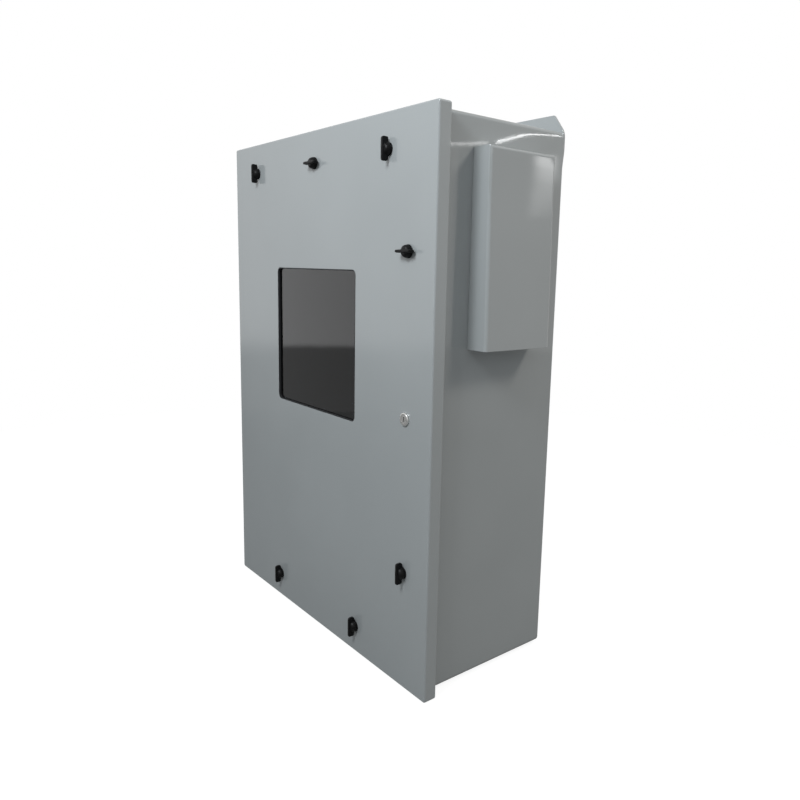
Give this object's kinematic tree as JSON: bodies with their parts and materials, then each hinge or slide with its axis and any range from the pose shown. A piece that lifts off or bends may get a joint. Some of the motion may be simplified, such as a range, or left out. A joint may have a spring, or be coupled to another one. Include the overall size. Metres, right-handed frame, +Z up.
{
  "type": "electrical enclosure",
  "caption": "Tall wall-mounting enclosure with a lapped windowed door, quarter-turn wing latches, key lock, rear hanging flange and a side vent hood.",
  "frame": {"origin": "centre of the body's flat rear face, which lies against the wall", "axes": "X to the right seen from the front, +Y into the wall, +Z up"},
  "size_m": [0.777, 0.3473, 1.078],
  "materials": {
    "gelcoat": "glossy light grey gelcoat on glass-fibre laminate",
    "zinc_plated_steel": "zinc plated",
    "stainless_steel": "cold rolled",
    "black_nylon": "moulded, semi-matt",
    "black_rubber": "extruded",
    "chromed_zinc": "bright plated",
    "tinted_polycarbonate": "smoke-tinted clear sheet"
  },
  "bodies": {
    "enclosure": {"enclosure_body": "gelcoat", "mounting_plate": "zinc_plated_steel", "plate_studs": "zinc_plated_steel", "plate_washers": "zinc_plated_steel", "plate_nuts": "zinc_plated_steel", "vent_hood": "gelcoat", "vent_hood_screws": "stainless_steel", "vent_screen": "stainless_steel", "vent_screen_screws": "stainless_steel", "hinge_body_screws": "stainless_steel", "hinge_body_nuts": "zinc_plated_steel", "hinge_body_leaf_upper": "stainless_steel", "hinge_body_leaf_middle": "stainless_steel", "hinge_body_leaf_lower": "stainless_steel", "hinge_pin_upper": "stainless_steel", "hinge_pin_middle": "stainless_steel", "hinge_pin_lower": "stainless_steel"},
    "door": {"door": "gelcoat", "door_gasket": "black_rubber", "window_pane": "tinted_polycarbonate", "window_seal": "black_rubber", "window_frame": "stainless_steel", "window_studs": "zinc_plated_steel", "window_nuts": "zinc_plated_steel", "latch_bushes": "black_nylon", "latch_seals": "black_rubber", "latch_nuts": "black_nylon", "lock_housing": "chromed_zinc", "lock_nut": "chromed_zinc", "hinge_door_screws": "stainless_steel", "hinge_door_leaf_upper": "stainless_steel", "hinge_door_leaf_middle": "stainless_steel", "hinge_door_leaf_lower": "stainless_steel"},
    "latch_top_left": {"latch_knob_top_left": "black_nylon", "latch_cam_top_left": "zinc_plated_steel", "latch_cam_screw_top_left": "zinc_plated_steel"},
    "latch_top_middle": {"latch_knob_top_middle": "black_nylon", "latch_cam_top_middle": "zinc_plated_steel", "latch_cam_screw_top_middle": "zinc_plated_steel"},
    "latch_top_right": {"latch_knob_top_right": "black_nylon", "latch_cam_top_right": "zinc_plated_steel", "latch_cam_screw_top_right": "zinc_plated_steel"},
    "latch_side_upper": {"latch_knob_side_upper": "black_nylon", "latch_cam_side_upper": "zinc_plated_steel", "latch_cam_screw_side_upper": "zinc_plated_steel"},
    "latch_side_lower": {"latch_knob_side_lower": "black_nylon", "latch_cam_side_lower": "zinc_plated_steel", "latch_cam_screw_side_lower": "zinc_plated_steel"},
    "latch_bottom_right": {"latch_knob_bottom_right": "black_nylon", "latch_cam_bottom_right": "zinc_plated_steel", "latch_cam_screw_bottom_right": "zinc_plated_steel"},
    "latch_bottom_left": {"latch_knob_bottom_left": "black_nylon", "latch_cam_bottom_left": "zinc_plated_steel", "latch_cam_screw_bottom_left": "zinc_plated_steel"},
    "lock": {"lock_plug": "chromed_zinc", "lock_cam": "zinc_plated_steel", "lock_cam_nut": "zinc_plated_steel"}
  },
  "joints": [
    {"name": "door_hinge", "type": "hinge", "parent": "enclosure", "child": "door", "pos_m": [-0.366, -0.306, 0], "axis": [0, 0, -1], "range_deg": [0, 120]},
    {"name": "latch_turn_top_left", "type": "hinge", "parent": "door", "child": "latch_top_left", "pos_m": [-0.261, -0.331, 0.461], "axis": [0, 1, 0], "range_deg": [0, 90]},
    {"name": "latch_turn_top_middle", "type": "hinge", "parent": "door", "child": "latch_top_middle", "pos_m": [-0.01, -0.331, 0.461], "axis": [0, 1, 0], "range_deg": [0, 90]},
    {"name": "latch_turn_top_right", "type": "hinge", "parent": "door", "child": "latch_top_right", "pos_m": [0.241, -0.331, 0.461], "axis": [0, 1, 0], "range_deg": [0, 90]},
    {"name": "latch_turn_side_upper", "type": "hinge", "parent": "door", "child": "latch_side_upper", "pos_m": [0.303, -0.331, 0.286], "axis": [0, 1, 0], "range_deg": [0, 90]},
    {"name": "latch_turn_side_lower", "type": "hinge", "parent": "door", "child": "latch_side_lower", "pos_m": [0.303, -0.331, -0.297], "axis": [0, 1, 0], "range_deg": [0, 90]},
    {"name": "latch_turn_bottom_right", "type": "hinge", "parent": "door", "child": "latch_bottom_right", "pos_m": [0.147, -0.331, -0.469], "axis": [0, 1, 0], "range_deg": [0, 90]},
    {"name": "latch_turn_bottom_left", "type": "hinge", "parent": "door", "child": "latch_bottom_left", "pos_m": [-0.167, -0.331, -0.469], "axis": [0, 1, 0], "range_deg": [0, 90]},
    {"name": "lock_turn", "type": "hinge", "parent": "door", "child": "lock", "pos_m": [0.302, -0.331, -0.008], "axis": [0, 1, 0], "range_deg": [0, 90]}
  ]
}
